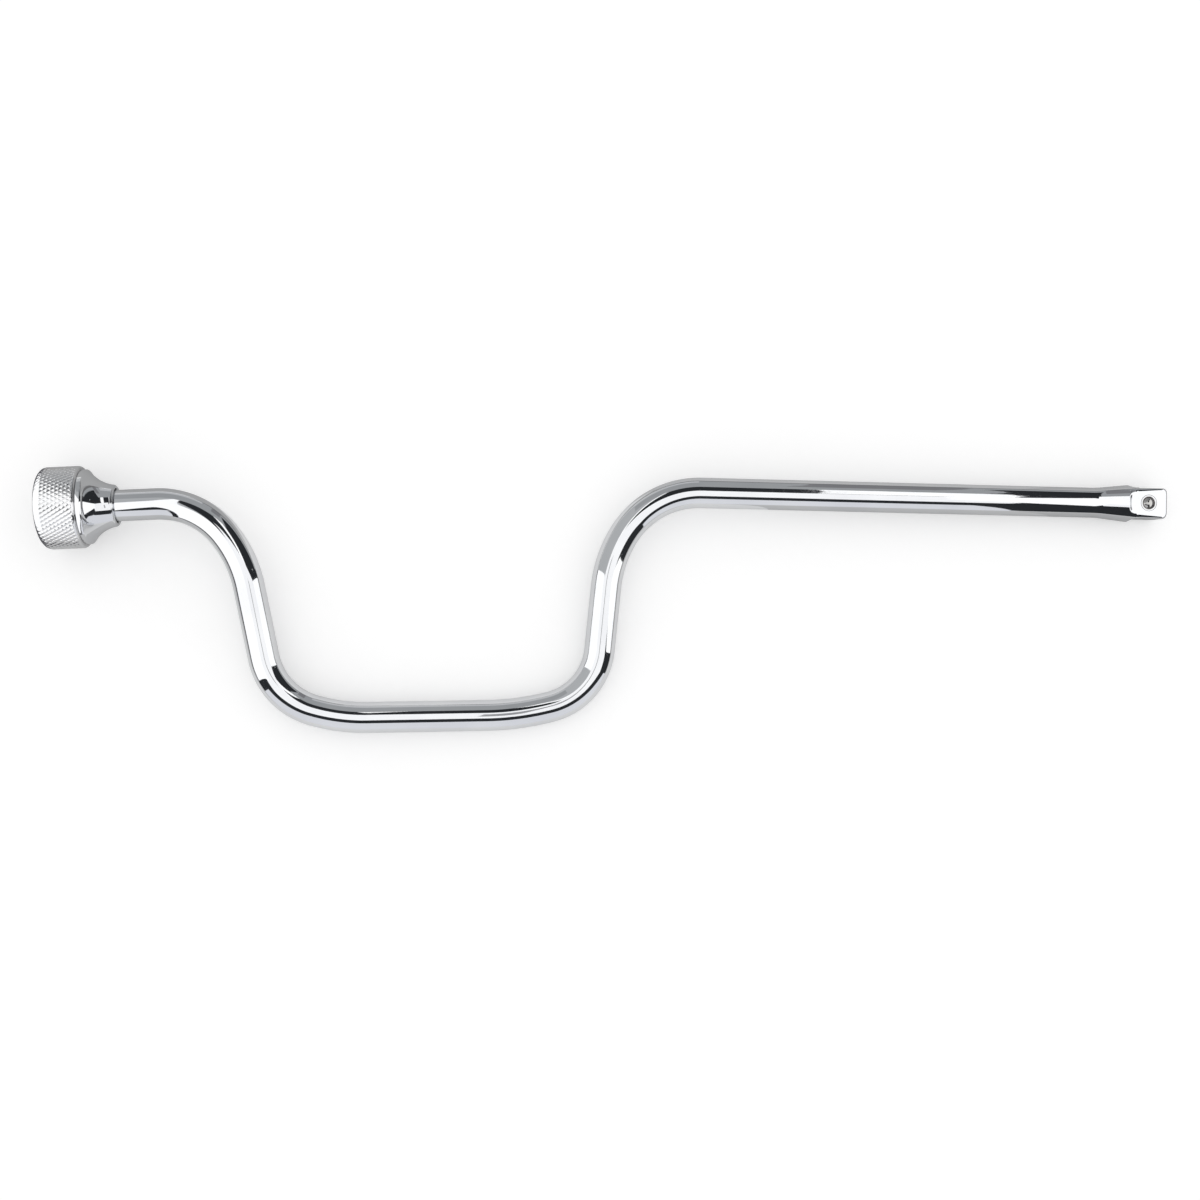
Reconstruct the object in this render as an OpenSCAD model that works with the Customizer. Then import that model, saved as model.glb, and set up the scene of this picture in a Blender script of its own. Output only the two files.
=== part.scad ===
// Speeder handle: a cranked bar with a square drive at one end and a revolving palm knob at the other.
// The drive's tip face is centred on the origin, +X points out of the drive, the crank's throw is
// towards -Y, and the detent ball faces +Z. Sizes are in millimetres and degrees.

/* [Crank] */
// Diameter of the round bar that the crank is bent from
bar_d = 12.5; // [11.8:0.1:13]
// Straight shank, from the drive's tip to the first bend
shank_len = 195.2; // [150:0.2:260]
// Straight leg on the drive's side of the grip
drive_leg_len = 25.6; // [10:0.2:60]
// Straight part of the grip
grip_len = 47.4; // [30:0.2:120]
// Straight leg on the knob's side of the grip
knob_leg_len = 28.7; // [10:0.2:60]
// Straight arm, from the last bend to the mouth of the knob
arm_len = 14.4; // [6:0.2:40]

/* [Bends] */
// From the shank into its leg: radius of the tight part, at the bar's middle line
shank_bend_r = 36.5; // [25:0.5:50]
// From the shank into its leg: angle of the tight part
shank_bend_a = 59.5; // [55:0.1:65]
// From the shank into its leg: radius of the easing
shank_ease_r = 51; // [40:0.5:80]
// From the shank into its leg: angle of the easing
shank_ease_a = 25.7; // [22:0.1:30]
// From the drive's leg into the grip: radius of the tight part
near_bend_r = 26.5; // [20:0.5:40]
// From the drive's leg into the grip: angle of the tight part
near_bend_a = 70; // [65:0.1:75]
// From the drive's leg into the grip: radius of the easing
near_ease_r = 112; // [60:0.5:150]
// From the drive's leg into the grip: angle of the easing
near_ease_a = 13.5; // [10:0.1:18]
// From the grip into the knob's leg: radius of the easing
far_ease_r = 74; // [50:0.5:120]
// From the grip into the knob's leg: angle of the easing
far_ease_a = 17.3; // [12:0.1:22]
// From the grip into the knob's leg: radius of the tight part
far_bend_r = 28; // [20:0.5:40]
// From the grip into the knob's leg: angle of the tight part
far_bend_a = 61.8; // [57:0.1:66]
// From the knob's leg into the arm: radius of the easing
arm_ease_r = 50; // [40:0.5:80]
// From the knob's leg into the arm: angle of the easing
arm_ease_a = 26.5; // [22:0.1:30]
// From the knob's leg into the arm: radius of the tight part
arm_bend_r = 32; // [25:0.5:45]
// From the knob's leg into the arm: angle of the tight part
arm_bend_a = 54.8; // [50:0.1:60]

/* [Drive] */
// Square of the drive, across its flats
drive_w = 12.7; // [12.3:0.1:13]
// From the crest of the shoulder to the tip
drive_len = 15.6; // [14.5:0.1:20]
// Diameter of the shoulder's crest
crest_d = 15.3; // [14.8:0.1:16.2]
// Radius that rounds the crest
crest_round = 2.5; // [1:0.1:4]
// Angle at which the bar flares out to the crest
flare_a = 6.5; // [5:0.5:10]
// Angle at which the shoulder falls from the crest to the square
shoulder_a = 25; // [20:1:40]
// How far the foot of the shoulder runs in under the square's flats
shoulder_sink = 0.95; // [0.5:0.05:1.5]
// Diameter over the square's rounded corners, at the shoulder
corner_root_d = 15.9; // [15.2:0.1:16.4]
// Diameter over the square's rounded corners, at the tip
corner_tip_d = 16.9; // [16.4:0.1:17.2]
// Diameter of the flat end face
tip_face_d = 11.6; // [10:0.1:12]
// Length of the tip's chamfer, along the corners
tip_chamfer = 2.4; // [1.8:0.1:4]

/* [Detent] */
// Diameter of the detent ball
ball_d = 5.5; // [4.5:0.1:6]
// From the tip to the middle of the ball
ball_from_tip = 8.1; // [7:0.1:9]
// How far the staked lip reaches in over the ball, each side
lip_reach = 0.25; // [0.15:0.05:0.4]
// Thickness of the staked lip
lip_t = 0.5; // [0.3:0.1:0.8]
// Metal left under the ball's hole
hole_floor = 2.2; // [1.5:0.1:3]
// From the hole's wall to the staking tool's ring mark
stake_gap = 0.35; // [0.2:0.05:0.6]
// Width of the ring mark
stake_w = 0.35; // [0.2:0.05:0.6]
// Depth of the ring mark
stake_depth = 0.15; // [0.05:0.05:0.3]
// Wire of the spring
spring_wire = 0.6; // [0.4:0.05:0.8]
// Turns of the spring
spring_turns = 4.5; // [3:0.5:5]

/* [Knob] */
// Diameter of the cap, over its knurl
knob_d = 32.6; // [30:0.2:38]
// Length of the cap, from its rim to its end
cap_len = 16.1; // [15.8:0.1:24]
// Radius that rounds the cap's end
cap_round = 3.1; // [2:0.1:4]
// Radius that rounds the cap's rim
rim_round = 1.1; // [0.5:0.1:1.4]
// Thickness of the cap's end
cap_end_t = 2.2; // [1.8:0.1:3]
// Side wall of the cap, under the knurl
cap_wall = 1.6; // [1.2:0.1:2.2]
// How far the collar's flange stands inside the cap's outside, each side
flange_step = 1.5; // [1:0.1:1.9]
// Width of the flange's edge
flange_w = 2.2; // [1.5:0.1:3.5]
// Chamfer between the flare and the flange's edge
flange_chamfer = 0.4; // [0.2:0.1:0.8]
// Length of the collar's flared neck, from the mouth to the flange
flare_len = 11; // [9.5:0.1:14]
// Radius of the hollow flare
flare_r = 14; // [12:0.5:20]
// Length of the collar's spigot inside the cap
spigot_len = 4; // [3:0.1:4.4]
// Chamfer at the spigot's end
spigot_chamfer = 0.5; // [0.2:0.1:0.8]
// Wall of the neck at its mouth
neck_wall = 1.8; // [1.2:0.1:2.2]

/* [Knurl] */
// Diamonds around the cap
knurl_count = 60; // [40:1:80]
// Depth of the knurl
knurl_depth = 0.45; // [0.2:0.05:0.6]
// Angle of the knurl's lines to the axis
knurl_a = 30; // [25:1:40]

/* [Bearing] */
// Wall of the bronze bushing
bushing_wall = 1.7; // [1.2:0.1:2]
// How far the bushing stands back from the mouth
bushing_setback = 5; // [4.5:0.1:8]
// Thickness of the bushing's flange
bushing_flange_t = 1.5; // [1:0.1:1.8]
// Reach of the bushing's flange past its sleeve
bushing_flange_w = 2.2; // [1.5:0.1:3]
// Thickness of the thrust washer
washer_t = 1.2; // [0.8:0.1:1.5]
// Thickness of the retaining ring
ring_t = 1; // [0.8:0.1:1.2]
// Width of the retaining ring, from its inside to its outside
ring_w = 2.4; // [2:0.1:3]
// Opening of the retaining ring
ring_gap_a = 50; // [40:1:70]
// Diameter of the lugs at the ring's ends
lug_d = 3; // [2.6:0.1:3.4]
// Diameter of the hole in each lug
lug_hole_d = 1.2; // [0.8:0.1:1.4]
// Depth of the groove that holds the ring
groove_depth = 0.55; // [0.3:0.05:0.8]
// Diameter of the thrust ball
thrust_ball_d = 6; // [4:0.1:6.4]
// How far the middle of the thrust ball stands out of the bar's end
thrust_ball_out = 0.45; // [0.2:0.05:1]
// Chamfer at the bar's end
bar_end_chamfer = 0.6; // [0.3:0.1:1]
// Diameter of the thrust disc
disc_d = 10; // [8:0.2:14]
// Thickness of the thrust disc
disc_t = 1.2; // [1:0.1:1.6]
// Depth of the disc's seat in the cap's end
disc_seat = 0.6; // [0.3:0.1:0.9]

/* [Clearances] */
// Radial clearance of the bar in its bushing, and of the ball in its hole
running_gap = 0.05; // [0.03:0.01:0.09]
// Radial clearance of the spring in its hole
spring_gap = 0.15; // [0.1:0.05:0.3]
// Radial clearance between pieces that are pressed together
press_gap = 0.02; // [0.01:0.01:0.04]
// Clearance between pieces that push on each other
contact_gap = 0.05; // [0.03:0.01:0.1]
// Radial clearance of the bar in the collar's mouth
mouth_gap = 0.35; // [0.3:0.05:0.6]

/* [Hidden] */
$fn = 96;
cut = 1;

// The bar's path from the crest to the arm: [length, 0] is a straight and [radius, turn] a bend, with
// the turn positive to the left. Each step stops a hair short of the next, and a low double cone that
// stands a hair proud of the bar joins them.
path = [
    [shank_len - drive_len, 0],
    [shank_bend_r, shank_bend_a],
    [shank_ease_r, shank_ease_a],
    [drive_leg_len, 0],
    [near_bend_r, -near_bend_a],
    [near_ease_r, -near_ease_a],
    [grip_len, 0],
    [far_ease_r, -far_ease_a],
    [far_bend_r, -far_bend_a],
    [knob_leg_len, 0],
    [arm_ease_r, arm_ease_a],
    [arm_bend_r, arm_bend_a],
];
step_gap = 0.05;
join_half_len = 0.5;
join_proud = 0.03;
join_sink = 0.05;
path_start = [-drive_len, 0, 180];

// The place [x, y, heading] at the far end of a step that starts at a place.
function straight_end(at, run) = [at.x + run * cos(at.z), at.y + run * sin(at.z), at.z];
function bend_end(at, r, turn) =
    let (side = sign(turn) * r)
    [
        at.x + side * (sin(at.z + turn) - sin(at.z)),
        at.y - side * (cos(at.z + turn) - cos(at.z)),
        at.z + turn,
    ];
function step_end(at, step) =
    step[1] == 0 ? straight_end(at, step[0]) : bend_end(at, step[0], step[1]);
function place(i) = i == 0 ? path_start : step_end(place(i - 1), path[i - 1]);
mouth = straight_end(place(len(path)), arm_len);

// Drive and detent
bar_r = bar_d / 2;
crest_r = crest_d / 2;
flat_z = drive_w / 2;
shoulder_root_r = flat_z - shoulder_sink;
ball_r = ball_d / 2;
hole_r = ball_r + running_gap;
lip_r = ball_r - lip_reach;
stake_r = hole_r + stake_gap;
ball_z = flat_z - lip_t - sqrt(ball_r * ball_r - lip_r * lip_r) - contact_gap;
hole_z = hole_floor - flat_z;
wire_r = spring_wire / 2;
spring_r = hole_r - wire_r - spring_gap;
spring_low_z = hole_z + wire_r + contact_gap;
spring_high_z = ball_z - sqrt(pow(ball_r + wire_r + contact_gap, 2) - spring_r * spring_r);
wire_sides = 6;
rings_per_turn = 10;

// Knob, along its axis from the mouth at 0 outwards
knob_r = knob_d / 2;
mouth_r = bar_r + mouth_gap;
neck_r = mouth_r + neck_wall;
lip_round = neck_wall / 2;
flange_r = knob_r - flange_step;
bell_r = flange_r - flange_chamfer;
rim_k = flare_len + flange_w;
cap_end_k = rim_k + cap_len;
cap_floor_k = cap_end_k - cap_end_t;
cap_bore_r = knob_r - knurl_depth - cap_wall;
spigot_k = rim_k + spigot_len;

// Bearing, along the same axis
bushing_r = bar_r + running_gap + bushing_wall;
bushing_flange_r = bushing_r + bushing_flange_w;
washer_k = spigot_k + bushing_flange_t + contact_gap;
ring_k = washer_k + washer_t + contact_gap;
groove_r = bar_r - groove_depth;
ring_in_r = groove_r + running_gap;
ring_out_r = ring_in_r + ring_w;
lug_r = lug_d / 2;
disc_k = cap_floor_k + disc_seat - disc_t;
thrust_ball_r = thrust_ball_d / 2;
thrust_ball_k = disc_k - contact_gap - thrust_ball_r;
bar_end_k = thrust_ball_k - thrust_ball_out;

// Knurl: rows of points, each half a diamond on from the last
knurl_step = PI * knob_d / knurl_count / tan(knurl_a) / 2;
knurl_rows = floor((cap_len - cap_round - rim_round) / knurl_step);
knurl_end_k = cap_end_k - cap_round;
knurl_start_k = knurl_end_k - knurl_rows * knurl_step;
plain_r = knob_r - knurl_depth / 2;
round_steps = 5;

// The sizes that the joints and the overall length follow from.
echo(overall_length = -mouth.x - cap_end_k * cos(mouth.z), throw = -place(6).y);
echo(knob_mouth = mouth, ball_proud = ball_z + ball_r - flat_z, hole_z = hole_z);

// What turns about X, drawn as a profile of [radius, place along X].
module turned() {
    rotate([0, 90, 0])
        rotate_extrude()
            children();
}

// The knob's own frame: its axis along +X, with the mouth at 0.
module at_knob() {
    translate([mouth.x, mouth.y, 0])
        rotate([0, 0, mouth.z])
            children();
}

// A round rod along X.
module rod(r, from, to) {
    translate([from, 0, 0])
        rotate([0, 90, 0])
            cylinder(r = r, h = to - from);
}

// A flat ring about X.
module ring(r_in, r_out, from, to) {
    difference() {
        rod(r_out, from, to);
        rod(r_in, from - cut, to + cut);
    }
}

// One step of the bar's path, drawn from its own start and a hair short at both ends.
module bar_step(step) {
    turn = step[1];
    if (turn == 0) {
        rod(bar_r, step_gap, step[0] - step_gap);
    } else {
        gap_a = step_gap / step[0] * 180 / PI;
        translate([0, sign(turn) * step[0], 0])
            rotate([0, 0, (turn > 0 ? -90 : 90 + turn) + gap_a])
                rotate_extrude(angle = abs(turn) - 2 * gap_a)
                    translate([step[0], 0])
                        circle(r = bar_r);
    }
}

// The double cone that joins two steps of the bar.
module bar_join() {
    turned()
        polygon([
            [0, -join_half_len],
            [bar_r - join_sink, -join_half_len],
            [bar_r + join_proud, 0],
            [bar_r - join_sink, join_half_len],
            [0, join_half_len],
        ]);
}

// The flare, its rounded crest and the shoulder that falls to the square.
module drive_shoulder() {
    crest_mid_r = crest_r - crest_round;
    flare_top = [crest_mid_r + crest_round * cos(flare_a), -drive_len - crest_round * sin(flare_a)];
    fall_top = [crest_mid_r + crest_round * cos(shoulder_a), -drive_len + crest_round * sin(shoulder_a)];
    flare_x = flare_top.y - (flare_top.x - bar_r) / tan(flare_a);
    fall_x = fall_top.y + (fall_top.x - shoulder_root_r) / tan(shoulder_a);
    turned() {
        polygon([[0, flare_x], [bar_r, flare_x], flare_top, fall_top, [shoulder_root_r, fall_x], [0, fall_x]]);
        translate([crest_mid_r, -drive_len])
            circle(r = crest_round);
    }
}

// The square, with its corners turned down and its tip chamfered.
module drive_square() {
    intersection() {
        translate([-drive_len, -flat_z, -flat_z])
            cube([drive_len, drive_w, drive_w]);
        turned()
            polygon([
                [0, -drive_len],
                [corner_root_d / 2, -drive_len],
                [corner_tip_d / 2, -tip_chamfer],
                [tip_face_d / 2, 0],
                [0, 0],
            ]);
    }
}

// The blind hole for ball and spring, its staked lip and the staking tool's ring mark.
module detent_hole() {
    translate([-ball_from_tip, 0, 0]) {
        translate([0, 0, hole_z])
            cylinder(r = hole_r, h = flat_z - lip_t - hole_z);
        cylinder(r = lip_r, h = flat_z + cut);
        translate([0, 0, flat_z - stake_depth])
            difference() {
                cylinder(r = stake_r + stake_w, h = stake_depth + cut);
                translate([0, 0, -cut])
                    cylinder(r = stake_r, h = stake_depth + 3 * cut);
            }
    }
}

// The arm and the bar's end inside the knob, with the ring's groove and the thrust ball's pocket.
module bar_tail() {
    difference() {
        union() {
            rod(bar_r, step_gap - arm_len, bar_end_k - bar_end_chamfer);
            turned()
                polygon([
                    [0, bar_end_k - bar_end_chamfer],
                    [bar_r, bar_end_k - bar_end_chamfer],
                    [bar_r - bar_end_chamfer, bar_end_k],
                    [0, bar_end_k],
                ]);
        }
        ring(groove_r, bar_r + cut, ring_k - contact_gap, ring_k + ring_t + contact_gap);
        rod(thrust_ball_r + running_gap, thrust_ball_k - thrust_ball_r - contact_gap, bar_end_k + cut);
    }
}

// The bent bar, from the drive's tip to its end inside the knob.
module crank_bar() {
    color("silver")
        difference() {
            union() {
                for (i = [0 : len(path) - 1]) {
                    at = place(i);
                    translate([at.x, at.y, 0])
                        rotate([0, 0, at.z])
                            bar_step(path[i]);
                    end = place(i + 1);
                    translate([end.x, end.y, 0])
                        rotate([0, 0, end.z])
                            bar_join();
                }
                drive_shoulder();
                drive_square();
                at_knob()
                    bar_tail();
            }
            detent_hole();
        }
}

// The collar: a round-lipped neck, its hollow flare, the flange and the spigot inside the cap.
module knob_collar() {
    chord = [bell_r - neck_r, flare_len - lip_round];
    half = norm(chord) / 2;
    off = sqrt(flare_r * flare_r - half * half) / norm(chord);
    flare_mid = [
        (bell_r + neck_r) / 2 + off * chord.y,
        (flare_len + lip_round) / 2 - off * chord.x,
    ];
    spigot_r = cap_bore_r - press_gap;
    color("gainsboro")
        at_knob()
            difference() {
                turned() {
                    difference() {
                        translate([0, lip_round])
                            square([bell_r, flare_len - lip_round]);
                        translate(flare_mid)
                            circle(r = flare_r);
                    }
                    translate([neck_r - lip_round, lip_round])
                        circle(r = lip_round);
                    polygon([
                        [0, flare_len],
                        [bell_r, flare_len],
                        [flange_r, flare_len + flange_chamfer],
                        [flange_r, rim_k],
                        [spigot_r, rim_k],
                        [spigot_r, spigot_k - spigot_chamfer],
                        [spigot_r - spigot_chamfer, spigot_k],
                        [0, spigot_k],
                    ]);
                }
                rod(mouth_r, -cut, spigot_k + cut);
                rod(bushing_r + press_gap, bushing_setback, spigot_k + cut);
            }
}

// The cap's outside as rings of points: rim, knurl and rounded end. Neighbouring points of a knurl
// row are a ridge's top and a groove's crossing by turns.
module cap_skin() {
    columns = 2 * knurl_count;
    rim_rows = [
        for (s = [0 : 2])
            let (a = 45 * s)
            [rim_k + rim_round * (1 - cos(a)), plain_r - rim_round * (1 - sin(a)), 0],
    ];
    knurl_part = [for (j = [0 : knurl_rows]) [knurl_start_k + j * knurl_step, knob_r, 1]];
    end_rows = [
        for (s = [1 : round_steps])
            let (a = 90 * s / round_steps)
            [knurl_end_k + cap_round * sin(a), plain_r - cap_round * (1 - cos(a)), 0],
    ];
    rows = concat(rim_rows, knurl_part, end_rows);
    last = len(rows) - 1;
    points = [
        for (j = [0 : last])
            for (c = [0 : columns - 1])
                let (deep = rows[j][2] == 1 && (c + j) % 2 == 0)
                let (r = rows[j][1] - (deep ? knurl_depth : 0))
                let (a = 360 * c / columns)
                [rows[j][0], r * cos(a), r * sin(a)],
    ];
    function id(j, c) = j * columns + (c + columns) % columns;
    sides = [
        for (j = [0 : last - 1])
            for (c = [0 : columns - 1])
                each (c + j) % 2 == 0
                    ? [
                        [id(j, c), id(j + 1, c), id(j + 1, c + 1)],
                        [id(j, c), id(j + 1, c + 1), id(j, c + 1)],
                    ]
                    : [
                        [id(j, c), id(j + 1, c), id(j, c + 1)],
                        [id(j + 1, c), id(j + 1, c + 1), id(j, c + 1)],
                    ],
    ];
    rim_face = [for (c = [0 : columns - 1]) id(0, c)];
    end_face = [for (c = [columns - 1 : -1 : 0]) id(last, c)];
    polyhedron(points = points, faces = concat([rim_face], sides, [end_face]));
}

// The knurled cap: the skin, bored for the collar's spigot and for the thrust disc's seat.
module knob_cap() {
    color("gainsboro")
        at_knob()
            difference() {
                cap_skin();
                rod(cap_bore_r, rim_k - cut, cap_floor_k);
                rod(disc_d / 2 + press_gap, cap_floor_k - cut, cap_floor_k + disc_seat);
            }
}

// The flanged bronze bushing, pressed into the collar.
module collar_bushing() {
    color("peru")
        at_knob()
            difference() {
                union() {
                    rod(bushing_r, bushing_setback + press_gap, spigot_k + bushing_flange_t);
                    rod(bushing_flange_r, spigot_k + press_gap, spigot_k + bushing_flange_t);
                }
                rod(bar_r + running_gap, 0, cap_end_k);
            }
}

// The hard washer that the bushing's flange runs on.
module thrust_washer() {
    color("slategray")
        at_knob()
            ring(bar_r + running_gap, bushing_flange_r, washer_k, washer_k + washer_t);
}

// The open spring ring, with a drilled lug at each end.
module retaining_ring() {
    lug_at_r = ring_out_r - lug_r / 2;
    half_gap = ring_gap_a / 2;
    color("dimgray")
        at_knob()
            translate([ring_k, 0, 0])
                rotate([0, 90, 0])
                    linear_extrude(height = ring_t)
                        difference() {
                            union() {
                                difference() {
                                    circle(r = ring_out_r);
                                    polygon([
                                        [0, 0],
                                        2 * ring_out_r * [cos(half_gap), sin(half_gap)],
                                        2 * ring_out_r * [cos(half_gap), -sin(half_gap)],
                                    ]);
                                }
                                for (a = [half_gap, -half_gap])
                                    rotate(a)
                                        translate([lug_at_r, 0])
                                            circle(r = lug_r);
                            }
                            circle(r = ring_in_r);
                            for (a = [half_gap, -half_gap])
                                rotate(a)
                                    translate([lug_at_r, 0])
                                        circle(d = lug_hole_d);
                        }
}

// The ball that takes the palm's push.
module thrust_ball() {
    color("lightsteelblue")
        at_knob()
            translate([thrust_ball_k, 0, 0])
                sphere(r = thrust_ball_r);
}

// The hard disc that the thrust ball runs on.
module thrust_disc() {
    color("slategray")
        at_knob()
            rod(disc_d / 2, disc_k, cap_floor_k + disc_seat - press_gap);
}

// The ball that holds a socket on the drive.
module detent_ball() {
    color("lightsteelblue")
        translate([-ball_from_tip, 0, ball_z])
            sphere(r = ball_r);
}

// The spring under the ball: one wire tube along a helix.
module detent_spring() {
    last = round(spring_turns * rings_per_turn);
    rise = spring_high_z - spring_low_z;
    slope = atan2(rise, 2 * PI * spring_r * spring_turns);
    points = [
        for (i = [0 : last])
            for (s = [0 : wire_sides - 1])
                let (turn = 360 * i / rings_per_turn, side = 360 * s / wire_sides)
                let (out = spring_r + wire_r * cos(side), up = wire_r * sin(side))
                [
                    out * cos(turn) + up * sin(slope) * sin(turn),
                    out * sin(turn) - up * sin(slope) * cos(turn),
                    spring_low_z + rise * i / last + up * cos(slope),
                ],
    ];
    function id(i, s) = i * wire_sides + s % wire_sides;
    sides = [
        for (i = [0 : last - 1])
            for (s = [0 : wire_sides - 1])
                each [
                    [id(i, s), id(i, s + 1), id(i + 1, s + 1)],
                    [id(i, s), id(i + 1, s + 1), id(i + 1, s)],
                ],
    ];
    first_face = [for (s = [wire_sides - 1 : -1 : 0]) id(0, s)];
    last_face = [for (s = [0 : wire_sides - 1]) id(last, s)];
    color("darkgray")
        translate([-ball_from_tip, 0, 0])
            polyhedron(points = points, faces = concat([first_face], sides, [last_face]));
}

crank_bar();
knob_collar();
knob_cap();
collar_bushing();
thrust_washer();
retaining_ring();
thrust_ball();
thrust_disc();
detent_ball();
detent_spring();
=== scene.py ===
"""Speeder handle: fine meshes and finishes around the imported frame, in a small photo studio.

Sizes are in millimetres and degrees, in the frame's own axes; meshes are made in metres.
"""
import math

import bpy
from mathutils import Matrix, Vector


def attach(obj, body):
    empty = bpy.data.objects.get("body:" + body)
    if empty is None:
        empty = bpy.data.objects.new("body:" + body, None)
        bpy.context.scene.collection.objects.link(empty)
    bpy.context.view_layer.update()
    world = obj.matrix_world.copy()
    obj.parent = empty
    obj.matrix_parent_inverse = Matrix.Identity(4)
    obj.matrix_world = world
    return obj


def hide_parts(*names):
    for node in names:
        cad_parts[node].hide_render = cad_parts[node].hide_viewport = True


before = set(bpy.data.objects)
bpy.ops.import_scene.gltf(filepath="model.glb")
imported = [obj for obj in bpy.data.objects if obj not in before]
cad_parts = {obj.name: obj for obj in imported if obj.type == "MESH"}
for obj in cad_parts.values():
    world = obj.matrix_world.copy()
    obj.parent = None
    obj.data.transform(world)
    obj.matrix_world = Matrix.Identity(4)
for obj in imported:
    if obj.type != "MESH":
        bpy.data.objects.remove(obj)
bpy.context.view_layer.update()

MM = 0.001

# Bar: (length, 0) is a straight and (radius, turn) a bend, turning left where positive, from the tip on
BAR_R = 6.25
BAR_PATH = [
    (195.2, 0),
    (36.5, 59.5),
    (51.0, 25.7),
    (25.6, 0),
    (26.5, -70.0),
    (112.0, -13.5),
    (47.4, 0),
    (74.0, -17.3),
    (28.0, -61.8),
    (28.7, 0),
    (50.0, 26.5),
    (32.0, 54.8),
    (14.4, 0),
]
BAR_SIDES = 240
BAR_GATHER = 0.6
BEND_STEP = 1.0
STRAIGHT_STEP = 4.0

# Drive, with places measured from the tip
FLAT = 6.35
DRIVE_LEN = 15.6
CREST_R = 7.65
CREST_ROUND = 2.5
FLARE_A = 6.5
CORNER_ROOT_R = 7.95
CORNER_ROOT = 13.0
CORNER_ROUND = 4.0
CORNER_TIP_R = 8.45
TIP_ROUND = 2.4
TIP_SET = 1.55
TIP_EDGE = 1.0
FLAT_END = 16.15
SIDE_FLAT_END = 14.4
FLAT_END_HALF = 4.4
FLAT_END_ROUND = 3.0
FLAT_END_POWER = 2.5
FLAT_END_WALL = 1.5
EDGE_SOFT = 0.7
FILLET_SOFT = 0.35
DRIVE_STEP = 0.14
EDGE_STEPS = 12

# Detent
BALL_R = 2.75
BALL_FROM_TIP = 8.1
BALL_Z = 4.654
BALL_STEPS = 48
BALL_SIDES = 72
POLE_GAP = 0.1
HOLE_R = 2.8
HOLE_Z = -4.15
HOLE_SIDES = 96
CUT_OVER = 1.0
LIP_R = 2.5
LIP_T = 0.5
LIP_EDGE = 0.12
STAKE_R = 3.15
STAKE_W = 0.35
STAKE_DEPTH = 0.15

# Knob, with places measured from its mouth outwards
KNOB_R = 16.3
MOUTH_R = 6.6
NECK_R = 8.4
MOUTH_K = 0.6
MOUTH_CHAMFER = 0.5
LIP_ROUND = 1.2
LIP_SHARE = 0.98
LIP_STEPS = 10
BELL_R = 14.4
FLARE_LEN = 11.0
FLARE_R = 14.0
FLARE_STEPS = 40
FLANGE_R = 14.8
FLANGE_CHAMFER = 0.4
FLANGE_EDGE = 0.15
RIM_K = 13.2
RIM_ROUND = 1.1
SPIGOT_R = 14.23
SPIGOT_K = 17.2
SPIGOT_CHAMFER = 0.5
BUSHING_SEAT_R = 8.02
BUSHING_K = 5.0
CAP_BORE_R = 14.25
CAP_FLOOR_K = 27.1
CAP_END_K = 29.3
CAP_ROUND = 3.1
CAP_STEPS = 14
DISC_SEAT_R = 5.02
DISC_SEAT = 0.6
KNOB_SIDES = 256

# Knurl: how far along the axis a line runs while it turns by one tooth is its pitch
KNURL_COUNT = 60
KNURL_DEPTH = 0.18
KNURL_CROSS = 0.6
KNURL_A = 30.0
KNURL_PITCH = 2 * math.pi * KNOB_R / KNURL_COUNT / math.tan(math.radians(KNURL_A))
KNURL_GRID = 16
KNURL_FADE = 0.7
KNURL_END = 2.1
KNURL_LOW = RIM_K + RIM_ROUND / 2
KNURL_HIGH = CAP_END_K - CAP_ROUND + KNURL_END
KNURL_WIDE = 0.85
KNURL_SOFT = 0.12

# Edges stay sharp above these angles
SHARP_ABOVE = 35
KNURL_SHARP_ABOVE = 50

# Painted shade and grime in recesses and seams: how far it reaches at the mouth and down the detent's
# hole, and its dark brown
MOUTH_SHADE_REACH = 0.4
HOLE_SHADE_DEPTH = 2.0
SHADE_AND_GRIME = (0.10, 0.075, 0.055)

# Bar's end inside the knob
RING_GROOVE_R = 5.7
RING_GROOVE = (19.95, 21.05)
BAR_END_K = 23.0
BAR_END_CHAMFER = 0.6
POCKET_R = 3.05
POCKET_K = 20.4

# Camera: where its axis meets the part, how far off it stands, and how it leans and rolls
AIM = (-235.85, -44.68, 0.0)
VIEW_DISTANCE = 570.96
VIEW_LEAN = 4.46
VIEW_ROLL = 1.08
LENS = 42.0
SENSOR = 36.0
CLIP_NEAR = 10
CLIP_FAR = 20000


def soft_min(a, b, reach):
    """The lesser of two values, rounded off where they come within reach of each other."""
    near = max(reach - abs(a - b), 0.0) / reach
    return min(a, b) - near * near * reach / 4


def soft_max(a, b, reach):
    """The greater of two values, filled in where they come within reach of each other."""
    return -soft_min(-a, -b, reach)


def smooth_step(low, high, value):
    """0 below low, 1 above high, and an even curve between them."""
    share = min(max((value - low) / (high - low), 0.0), 1.0)
    return share * share * (3 - 2 * share)


def arc(middle, start, end, radius, steps):
    """Points on a circle about middle, from start to end the short way round."""
    first = start - middle
    final = end - middle
    low = math.atan2(first.y, first.x)
    turn = math.atan2(final.y, final.x) - low
    turn = (turn + math.pi) % (2 * math.pi) - math.pi
    angles = [low + turn * n / steps for n in range(steps + 1)]
    return [middle + radius * Vector((math.cos(a), math.sin(a))) for a in angles]


def arc_through(start, end, radius, steps):
    """Points from start to end on a circle of that radius, which lies on the outer side of the chord."""
    chord = end - start
    off = math.sqrt(radius * radius - chord.length_squared / 4)
    middle = (start + end) / 2 + off * Vector((chord.y, -chord.x)).normalized()
    return arc(middle, start, end, radius, steps)


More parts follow.
